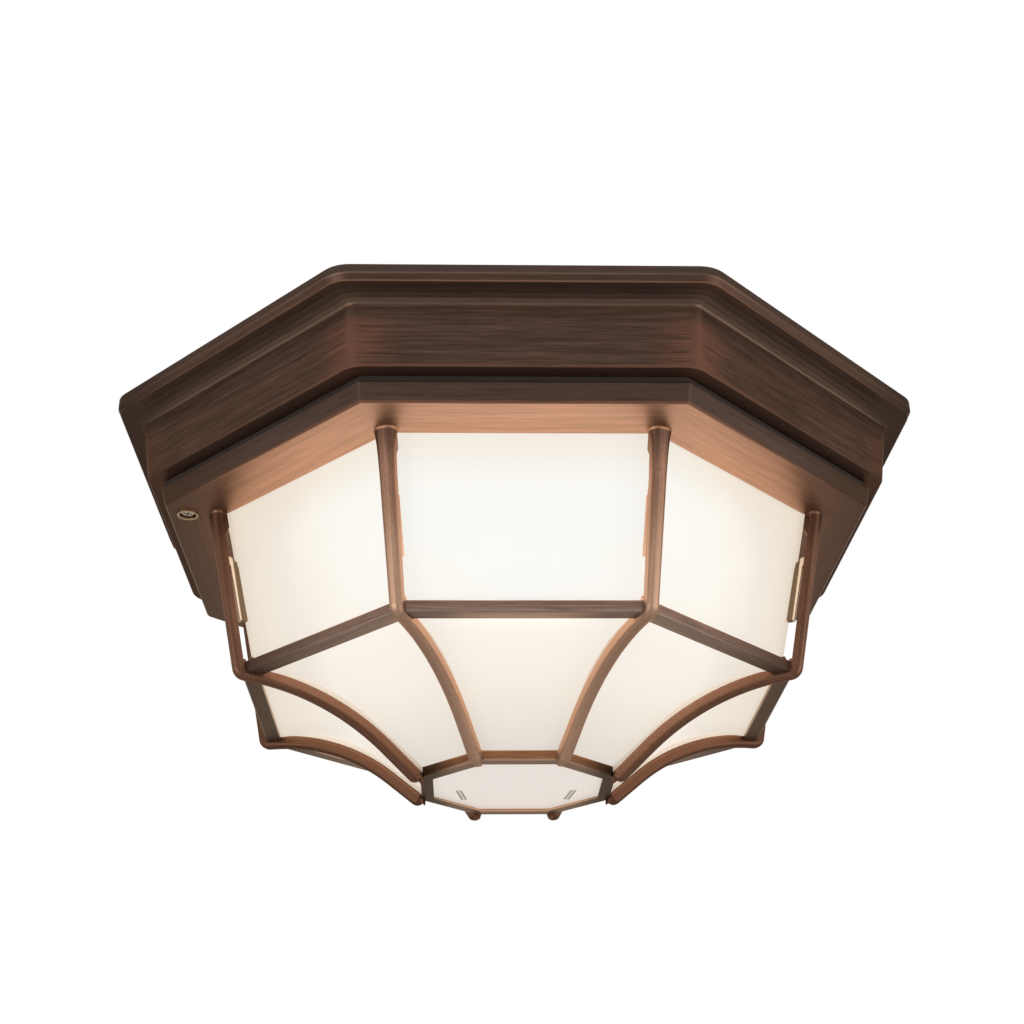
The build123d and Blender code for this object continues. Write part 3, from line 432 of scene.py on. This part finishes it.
# %% The bronze of the ribs
RIB_STROKE = (30 * MM, 1.2 * MM)
RIB_GRAIN, RIB_GRAIN_DETAIL = 900.0, 3.0
RIB_MIX = (0.7, 0.3)
RIB_TONES = ((0.3, "5a3d31"), (0.5, "825e4c"), (0.7, "a8826c"))
FRONT_RIBS = (-0.9, -0.4)
BACK_RIBS = (-0.3, 0.3)
FRONT_LIGHT_HEIGHTS = (-94 * MM, -58 * MM)
FRONT_LIGHT_SHARES = (0.5, 0.1)
FRONT_LIGHT_TONE = "b8987f"
BACK_SHADE_SHARES = (0.6, 0.8)
BACK_SHADE_TONE = "4c3122"
SHADED_FLANKS = (1.5 * MM, 2.3 * MM)
FLANK_SHADE_SHARE = 0.45
FLANK_SHADE_TONE = "5c4132"
HEAD_SHADE_HEIGHTS = (-58 * MM, -43 * MM)
HEAD_SHADE_SHARE = 0.5
HEAD_SHADE_TONE = "3e2b22"
HEAD_HIGHLIGHT = (-42.4 * MM, -42.0 * MM)
HEAD_HIGHLIGHT_TONE = "b0866a"
TAB_HEIGHTS = (-84 * MM, -59 * MM)
TAB_SOFT = 1 * MM
TAB_DEPTHS = (4.2 * MM, 4.6 * MM)
TAB_LIT_LINE_DEPTHS = (5.6 * MM, 6.0 * MM)
TAB_SHARES = (0.8, 0.0)
TAB_TONE, TAB_LIT_LINE_TONE = "6b5c48", "e8d8c2"
LIT_WEB_DEPTHS = (5.0 * MM, 5.2 * MM)
LIT_WEB_HALF_WIDTH = 1.3 * MM
LIT_WEB_OUT = 107.4 * MM
LIT_WEB_TOP = -98.5 * MM
LIT_WEB_TONE, FRONT_LIT_WEB_TONE = "aea69c", "8c8378"
RIB_ROUGH = (0.36, 0.56)
RIB_RELIEF = (0.3, 0.2 * MM)
RIB_RIM = "d8c8bc"


def tab_finish(tree, colour, out, height, front):
    """The grey tab on the back of a rib, with a painted line of light from the glass beside it."""
    depth = leg_depth(tree, out, height)
    tab = between(tree, height, *TAB_HEIGHTS, TAB_SOFT)
    tab = times(tree, tab, rise(tree, depth, *TAB_DEPTHS))
    tab = times(tree, tab, slide(tree, front, *TAB_SHARES))
    # painted light: a cream line of light from the glass, close to the rib
    past_lit_line = rise(tree, depth, *TAB_LIT_LINE_DEPTHS)
    tone = tint(tree, past_lit_line, shade(TAB_LIT_LINE_TONE), shade(TAB_TONE))
    return tint(tree, tab, colour, tone)


def lit_web_mask(tree, offset, out, height):
    """1 on the web under the knee, which is painted cream as lit glass seen behind the rib."""
    lit_web = rise(tree, curl_depth(tree, out, height), *LIT_WEB_DEPTHS)
    for value, limit in ((offset, LIT_WEB_HALF_WIDTH), (out, LIT_WEB_OUT), (height, LIT_WEB_TOP)):
        lit_web = times(tree, lit_web, sums(tree, "LESS_THAN", value, limit))
    return lit_web


def rib_bronze():
    """Bronze brushed down the rib, with all that the rib carries, and its painted light and shade.
    """
    material, tree, shader = new_finish("rib_bronze")
    across, out, height, number = folded(tree, HALF_SIDE)
    offset = sums(tree, "ABSOLUTE", across)
    behind = sums(tree, "SINE", times_plus(tree, number, SIDE, HALF_SIDE))
    front = minus(tree, 1.0, rise(tree, behind, *FRONT_RIBS))

    down = minus(tree, out, height)
    broad = strokes(tree, down, across, across, number, *RIB_STROKE)
    fine = noise(tree, object_place(tree), RIB_GRAIN, RIB_GRAIN_DETAIL)
    brushing = times_plus(tree, broad, RIB_MIX[0], times(tree, fine, RIB_MIX[1]))
    colour = tones(tree, brushing, *RIB_TONES)

    # painted light: the front ribs are lighter, most of all low down
    wear_and_light = slide(tree, rise(tree, height, *FRONT_LIGHT_HEIGHTS), *FRONT_LIGHT_SHARES)
    colour = tint(tree, times(tree, wear_and_light, front), colour, shade(FRONT_LIGHT_TONE))
    # painted shade on the flanks of the rib
    flank_shade = times(tree, rise(tree, offset, *SHADED_FLANKS), FLANK_SHADE_SHARE)
    colour = tint(tree, flank_shade, colour, shade(FLANK_SHADE_TONE))
    # painted shade on the head of the rib under the flange, and a painted highlight along its top
    # edge
    head_shade = times(tree, rise(tree, height, *HEAD_SHADE_HEIGHTS), HEAD_SHADE_SHARE)
    colour = tint(tree, head_shade, colour, shade(HEAD_SHADE_TONE))
    colour = tint(tree, rise(tree, height, *HEAD_HIGHLIGHT), colour, shade(HEAD_HIGHLIGHT_TONE))
    # painted shade: the ribs that face away from the light are darker
    back_shade = slide(tree, rise(tree, behind, *BACK_RIBS), *BACK_SHADE_SHARES)
    back_shade = times(tree, back_shade, minus(tree, 1.0, front))
    colour = tint(tree, back_shade, colour, shade(BACK_SHADE_TONE))
    colour = tab_finish(tree, colour, out, height, front)
    # painted light: the web under the knee takes the cream of the lit glass, paler beside the side
    # ribs
    lit_web = lit_web_mask(tree, offset, out, height)
    lit_web_tone = tint(tree, front, shade(LIT_WEB_TONE), shade(FRONT_LIT_WEB_TONE))
    colour = tint(tree, lit_web, colour, lit_web_tone)

    metal = times(tree, minus(tree, 1.0, lit_web), BRONZE_METAL)
    feed(tree, shader, Base_Color=colour, Metallic=metal, Specular_Tint=shade(RIB_RIM))
    feed(tree, shader, Roughness=slide(tree, fine, *RIB_ROUGH))
    feed(tree, shader, Normal=bump(tree, brushing, *RIB_RELIEF))
    return material


dress(rib_bronze(), *RIBS)
print("bronze on", len(RIBS), "ribs")

# %% [markdown]
# ## Light behind frosted glass
# The panes are opal-frosted, so no lamp shows through them: they glow. Blender could send
# real light through real frosted glass, but that needs a long render to be free of specks. A
# glow that is painted by place is clean at once. A pane is whitest where a globe is near, so
# the shader measures the distance to the nearer globe. The ends of two clips, which show
# through the bottom pane, are short dark bars.

# %% Distance to the lamps and the marks of the clips
SIDE_STRETCH = 1.2
CLIP_END = (21.2 * MM, 13.6 * MM)
CLIP_TURN = radians(9.5)
CLIP_REACH = 9 * MM
CLIP_TIP = (0.1, 0.25)
CLIP_OUTER, CLIP_INNER, CLIP_FILL = 1.8 * MM, 0.7 * MM, 1.6 * MM
CLIP_LINE = (0.1, 0.45)
CLIP_FILL_SHARE = 0.2


def globe_centre(node):
    """Centre of a lamp's globe, which is a ball cut off at its collar."""
    low, high = (Vector(corner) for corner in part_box(node))
    radius = (high.y - low.y) / 2
    tip = low.x if node.endswith("right") else high.x
    inward = 1 if node.endswith("right") else -1
    return Vector((tip + inward * radius, (low.y + high.y) / 2, (low.z + high.z) / 2))


def lamp_distance(tree, place):
    """Distance to the nearer globe, stretched a little to the sides."""
    stretched = add(tree, "VectorMath", place, (SIDE_STRETCH, 1.0, 1.0), operation="MULTIPLY")
    distances = []
    for side in ("left", "right"):
        centre = globe_centre("lamp_globe_" + side)
        centre.x *= SIDE_STRETCH
        found = add(tree, "VectorMath", stretched, tuple(centre), operation="DISTANCE", out="Value")
        distances.append(found)
    return sums(tree, "MINIMUM", *distances)


def clip_shadow(tree, place, side):
    """The end of a clip seen through the frosted glass, as a short bar with dark edges."""
    end = (side * CLIP_END[0], CLIP_END[1], 0.0)
    apart = add(tree, "VectorMath", place, end, operation="SUBTRACT")
    split = add(tree, "SeparateXYZ", apart).node
    x, y, _ = split.outputs
    c, s = cos(CLIP_TURN), side * sin(CLIP_TURN)
    long = times_plus(tree, x, s, times(tree, y, -c))
    wide = times_plus(tree, x, c, times(tree, y, s))
    inside = rise(tree, near(tree, long, 0.0, CLIP_REACH), *CLIP_TIP)
    rim = minus(tree, near(tree, wide, 0.0, CLIP_OUTER), near(tree, wide, 0.0, CLIP_INNER))
    filled = times(tree, near(tree, wide, 0.0, CLIP_FILL), CLIP_FILL_SHARE)
    return times(tree, inside, sums(tree, "MAXIMUM", rise(tree, rim, *CLIP_LINE), filled))


for side in ("left", "right"):
    print(side, "globe at", tuple(round(v, 3) for v in globe_centre("lamp_globe_" + side)))

# %% [markdown]
# ## Frosted glass with the lamps on
# Further from the globes a pane turns from white to cream, and it is a little darker close
# under the flange and down at the bottom ring. The camera sees the glow at about display
# white, while other rays get it stronger, as a lit lamp really is beside what its picture can
# show, so the glass lights the bronze around it. The inner faces, which the open cage shows,
# are lit by the panes opposite and glow less.

# %% The glowing panes
PANES = [f"{row}_pane_{number}" for row in ("upper", "lower") for number in range(1, 9)]
GLOW_RANGE = (76 * MM, 126 * MM)
GLOW_TONES = (
    (0.0, "fbfbf7"), (0.2, "fbfbf6"), (0.4, "fbf7ee"),
    (0.66, "efe6dc"), (0.84, "ece2d4"), (1.0, "e9dccb"),
)
CLOUD_SCALE = 30.0
CLOUD_DEPTH = 12 * MM
TOP_HEIGHTS = (-60 * MM, -42 * MM)
TOP_SHARE = 0.5
TOP_TONE = "f0e3d0"
LOW_HEIGHTS = (-100 * MM, -130 * MM)
LOW_START = 0.05
LOW_TONES = ((0.0, "f9f3ea"), (0.25, "f7f0e6"), (0.5, "f1e8dd"), (0.75, "e8e0d5"), (1.0, "dfd6ce"))
CLIP_SHARE = 0.9
CLIP_TONE = "4a3626"
BOWL_MIDDLE = (0.0, 0.0, -60 * MM)
SEEN_SHARE = 0.785
INNER_SHARE = 0.3
LAMP_SHARE = 3.1
GLASS_TONE = "7d7972"
GLASS_ROUGH = 0.45
GLASS_SHINE = 0.3
FROST_GRAIN = 1400.0
FROST_RELIEF = (0.15, 0.05 * MM)


def glow_colour(tree, place, clips):
    """The colour of the lit glass by its distance to the lamps and by height."""
    height = add(tree, "SeparateXYZ", place, out="Z")
    cloud = minus(tree, noise(tree, place, CLOUD_SCALE), 0.5)
    away = times_plus(tree, cloud, CLOUD_DEPTH, lamp_distance(tree, place))
    colour = tones(tree, add(tree, "MapRange", away, *GLOW_RANGE), *GLOW_TONES)
    top = times(tree, rise(tree, height, *TOP_HEIGHTS), TOP_SHARE)
    colour = tint(tree, top, colour, shade(TOP_TONE))
    depth = add(tree, "MapRange", height, *LOW_HEIGHTS)
    low = rise(tree, depth, 0.0, LOW_START)
    colour = tint(tree, low, colour, tones(tree, depth, *LOW_TONES), "DARKEN")
    for side in (-1, 1) if clips else ():
        shadow = times(tree, clip_shadow(tree, place, side), CLIP_SHARE)
        colour = tint(tree, shadow, colour, shade(CLIP_TONE))
    return colour


def glow_strength(tree, place):
    """Display white for the camera, less on inner faces, and more as a source of light."""
    apart = add(tree, "VectorMath", place, BOWL_MIDDLE, operation="SUBTRACT")
    normal = add(tree, "TexCoord", out="Normal")
    outward = add(tree, "VectorMath", apart, normal, operation="DOT_PRODUCT", out="Value")
    outer = sums(tree, "GREATER_THAN", outward, 0.0)
    shown = add(tree, "MapRange", outer, 0.0, 1.0, INNER_SHARE, SEEN_SHARE)
    camera_ray = add(tree, "LightPath", out="Is Camera Ray")
    return add(tree, "MapRange", camera_ray, 0.0, 1.0, LAMP_SHARE, shown)


def glow(name, clips=False):
    """Frosted glass that glows."""
    material, tree, shader = new_finish(name)
    place = object_place(tree)
    frost = noise(tree, place, FROST_GRAIN)
    feed(tree, shader, Base_Color=shade(GLASS_TONE), Roughness=GLASS_ROUGH)
    feed(tree, shader, Specular_IOR_Level=GLASS_SHINE)
    feed(tree, shader, Emission_Color=glow_colour(tree, place, clips))
    feed(tree, shader, Emission_Strength=glow_strength(tree, place))
    feed(tree, shader, Normal=bump(tree, frost, *FROST_RELIEF))
    return material


dress(glow("frosted_glass_lit"), *PANES)
dress(glow("bottom_glass_lit", clips=True), "bottom_pane")
print("glow on", len(PANES) + 1, "panes")

# %% [markdown]
# ## Inside the canopy
# Opening the cage shows what lights the glass: two lamps in ceramic holders on bent steel
# brackets, the strap that carries the canopy, and the screws. They are small and mostly in
# shade, so each gets a base tone with fine grain and a few soft stains, and one function makes
# them all.

# %% Finishes of the small pieces
STAIN_SCALE = 60.0
GRAIN_SHARE, STAIN_SHARE = 0.45, 0.55
GRAIN_DETAIL = 3.0
DARK_STEP, PALE_STEP = 0.35, 0.65
ROUGH_SWING = 0.1
GRAIN_RELIEF = 0.2
FINE_DEPTH = 0.05 * MM
FOAM_DEPTH = 0.2 * MM


def plain_finish(name, dark, pale, grain, metallic, rough, depth=FINE_DEPTH):
    """A grainy finish between two tones, with stains and an uneven shine."""
    material, tree, shader = new_finish(name)
    place = object_place(tree)
    speck = noise(tree, place, grain, GRAIN_DETAIL)
    stain = noise(tree, place, STAIN_SCALE, GRAIN_DETAIL)
    mixed = times_plus(tree, speck, GRAIN_SHARE, times(tree, stain, STAIN_SHARE))
    colour = tones(tree, mixed, (DARK_STEP, dark), (PALE_STEP, pale))
    shine = slide(tree, stain, rough - ROUGH_SWING, rough + ROUGH_SWING)
    feed(tree, shader, Base_Color=colour, Roughness=shine, Metallic=metallic)
    feed(tree, shader, Normal=bump(tree, speck, GRAIN_RELIEF, depth))
    return material


steel = plain_finish("zinc_steel", "8b8984", "b9b6ae", 1500.0, 0.9, 0.38)
brass = plain_finish("old_brass", "6e5636", "a08458", 1400.0, 0.9, 0.36)
nickel = plain_finish("nickel_shell", "97928a", "c7c2b8", 1600.0, 0.95, 0.26)
blackened = plain_finish("blackened_steel", "2b221d", "4b3b32", 1500.0, 0.8, 0.42)
spring = plain_finish("spring_steel", "5b5349", "837a6d", 1500.0, 0.85, 0.4)
foam = plain_finish("gasket_foam", "241b17", "352a24", 2600.0, 0.0, 0.95, FOAM_DEPTH)
rubber = plain_finish("grommet_rubber", "17171a", "2c2c2f", 1200.0, 0.0, 0.7)
earth_green = plain_finish("earth_green", "2c5a36", "44804d", 1300.0, 0.3, 0.45)
ceramic = plain_finish("holder_ceramic", "d9d3c6", "efeae0", 900.0, 0.0, 0.3)
plastic = plain_finish("lamp_collar_plastic", "dcdad5", "efeeea", 1100.0, 0.0, 0.45)
ring_brass = plain_finish("latch_ring_brass", "80694c", "b29470", 1500.0, 0.85, 0.34)
screw_bright = plain_finish("latch_screw_nickel", "9c8f7c", "d0c3ae", 1500.0, 0.9, 0.3)

dress(foam, "canopy_gasket")
dress(rubber, "wire_grommet")
dress(earth_green, "earth_screw")
dress(steel, "mounting_strap", "fixing_studs", "bracket_screws", "clip_screws")
dress(steel, "holder_bracket_left", "holder_bracket_right")
dress(brass, "cap_nuts")
dress(ceramic, "holder_body_left", "holder_body_right")
dress(nickel, "holder_shell_left", "holder_shell_right", "lamp_base_left", "lamp_base_right")
dress(plastic, "lamp_collar_left", "lamp_collar_right")
dress(blackened, "rib_screws", "hinge_pin", "hinge_clip")
dress(spring, "upper_clips", "lower_clips", "bottom_clips")
dress(ring_brass, "latch_washer")
dress(screw_bright, "latch_screw")
print("finishes on the small pieces")

# %% [markdown]
# ## The lamps
# The globes are opal and lit. A lamp object inside each would light only the inside of the
# ball, so the glass itself glows, as that of the panes does. It is brightest round the middle
# of the ball and warmer towards the collar and the tip.

# %% The lit globes
GLOBE_WARM = 12 * MM
GLOBE_TONES = ((0.0, "fffaf0"), (1.0, "f3e4cf"))
GLOBE_GLASS = "d8d3c9"
GLOBE_CLOUD = 90.0
GLOBE_STRENGTH = 0.8
GLOBE_ROUGH = (0.3, 0.45)


def lit_globe(name):
    """Opal glass that glows."""
    material, tree, shader = new_finish(name)
    cloud = noise(tree, object_place(tree), GLOBE_CLOUD)
    warmth = rise(tree, sideways(tree), 0.0, GLOBE_WARM)
    colour = tones(tree, warmth, *GLOBE_TONES)
    feed(tree, shader, Base_Color=shade(GLOBE_GLASS))
    feed(tree, shader, Roughness=slide(tree, cloud, *GLOBE_ROUGH))
    feed(tree, shader, Emission_Color=colour, Emission_Strength=GLOBE_STRENGTH)
    return material


dress(lit_globe("opal_globe_lit"), "lamp_globe_left", "lamp_globe_right")
print("two globes lit")

# %% [markdown]
# ## Camera
# The camera looks up at the light from the front, a little to the left. It could be placed by
# eye, but a fit is surer: its place and angles were found from the octagon's corners in the
# photograph.

# %% Camera
CAMERA_PLACE = (-0.0191484, -0.5864727, -0.3035897)
CAMERA_TILT = radians(26.0327)
CAMERA_SWING = radians(1.8174)
CAMERA_ROLL = radians(-0.6987)
CAMERA_LENS = 55.30
CAMERA_SENSOR = 36.0
CAMERA_NEAR = 0.01

camera_data = bpy.data.cameras.new("camera")
camera_data.lens = CAMERA_LENS
camera_data.sensor_width = CAMERA_SENSOR
camera_data.clip_start = CAMERA_NEAR
camera = bpy.data.objects.new("camera", camera_data)
aim = Matrix.Rotation(-CAMERA_SWING, 4, "Z") @ Matrix.Rotation(pi / 2 + CAMERA_TILT, 4, "X")
roll = Matrix.Rotation(CAMERA_ROLL, 4, "Z")
camera.matrix_world = Matrix.Translation(CAMERA_PLACE) @ aim @ roll
bpy.context.scene.collection.objects.link(camera)
bpy.context.scene.camera = camera
bpy.context.scene.view_settings.view_transform = "Standard"
print("camera at", CAMERA_PLACE)

# %% [markdown]
# ## Studio
# A white world and a pale floor far below. More light would make them white, but it would
# also wash out the bronze. So world and floor are plain white to the camera from every side,
# and as a source of light the world is a calmer grey.

# %% World and floor
WHITE = (1.0, 1.0, 1.0, 1.0)
WORLD_LIGHT = 0.6
FLOOR_SIZE = 6.0
FLOOR_DROP = -1.2
FLOOR_TONE = "f4f3f1"
FLOOR_ROUGH = 0.9

world = bpy.data.worlds.new("studio")
world.use_nodes = True
bpy.context.scene.world = world
tree = world.node_tree
path = add(tree, "LightPath").node.outputs
seen = sums(tree, "MAXIMUM", path["Is Camera Ray"], path["Is Glossy Ray"])
seen = sums(tree, "MAXIMUM", seen, path["Is Transmission Ray"])
strength = add(tree, "MapRange", seen, 0.0, 1.0, WORLD_LIGHT, 1.0)
feed(tree, tree.nodes["Background"], Color=WHITE, Strength=strength)

bpy.ops.object.select_all(action="DESELECT")
bpy.ops.mesh.primitive_plane_add(size=FLOOR_SIZE, location=(0.0, 0.0, FLOOR_DROP))
floor = bpy.context.object
floor.name = "floor"
bpy.ops.object.transform_apply(location=True, rotation=True, scale=True)
floor_finish, tree, shader = new_finish("floor_white")
feed(tree, shader, Base_Color=shade(FLOOR_TONE), Roughness=FLOOR_ROUGH)
camera_ray = add(tree, "LightPath", out="Is Camera Ray")
shown = add(tree, "MixShader", camera_ray, shader.outputs[0], add(tree, "Emission", WHITE, 1.0))
feed(tree, tree.nodes["Material Output"], Surface=shown)
floor.data.materials.append(floor_finish)
print("floor at", FLOOR_DROP)

# %% [markdown]
# ## Lamps of the studio
# Two large soft lamps in front, one on each side, shape the bronze without hard shadows. Both
# are turned towards the middle of the bowl.

# %% Soft lamps
SOFT_LAMPS = {
    "left_lamp": ((-1.0, -0.9, -0.5), 0.8, 6.5),
    "right_lamp": ((1.2, -0.7, -0.4), 1.0, 7.0),
}

for name, (place, size, power) in SOFT_LAMPS.items():
    lamp_data = bpy.data.lights.new(name, "AREA")
    lamp_data.size = size
    lamp_data.energy = power
    lamp = bpy.data.objects.new(name, lamp_data)
    towards = (Vector(BOWL_MIDDLE) - Vector(place)).to_track_quat("-Z", "Y")
    lamp.matrix_world = Matrix.Translation(place) @ towards.to_matrix().to_4x4()
    bpy.context.scene.collection.objects.link(lamp)
print("soft lamps:", len(SOFT_LAMPS))
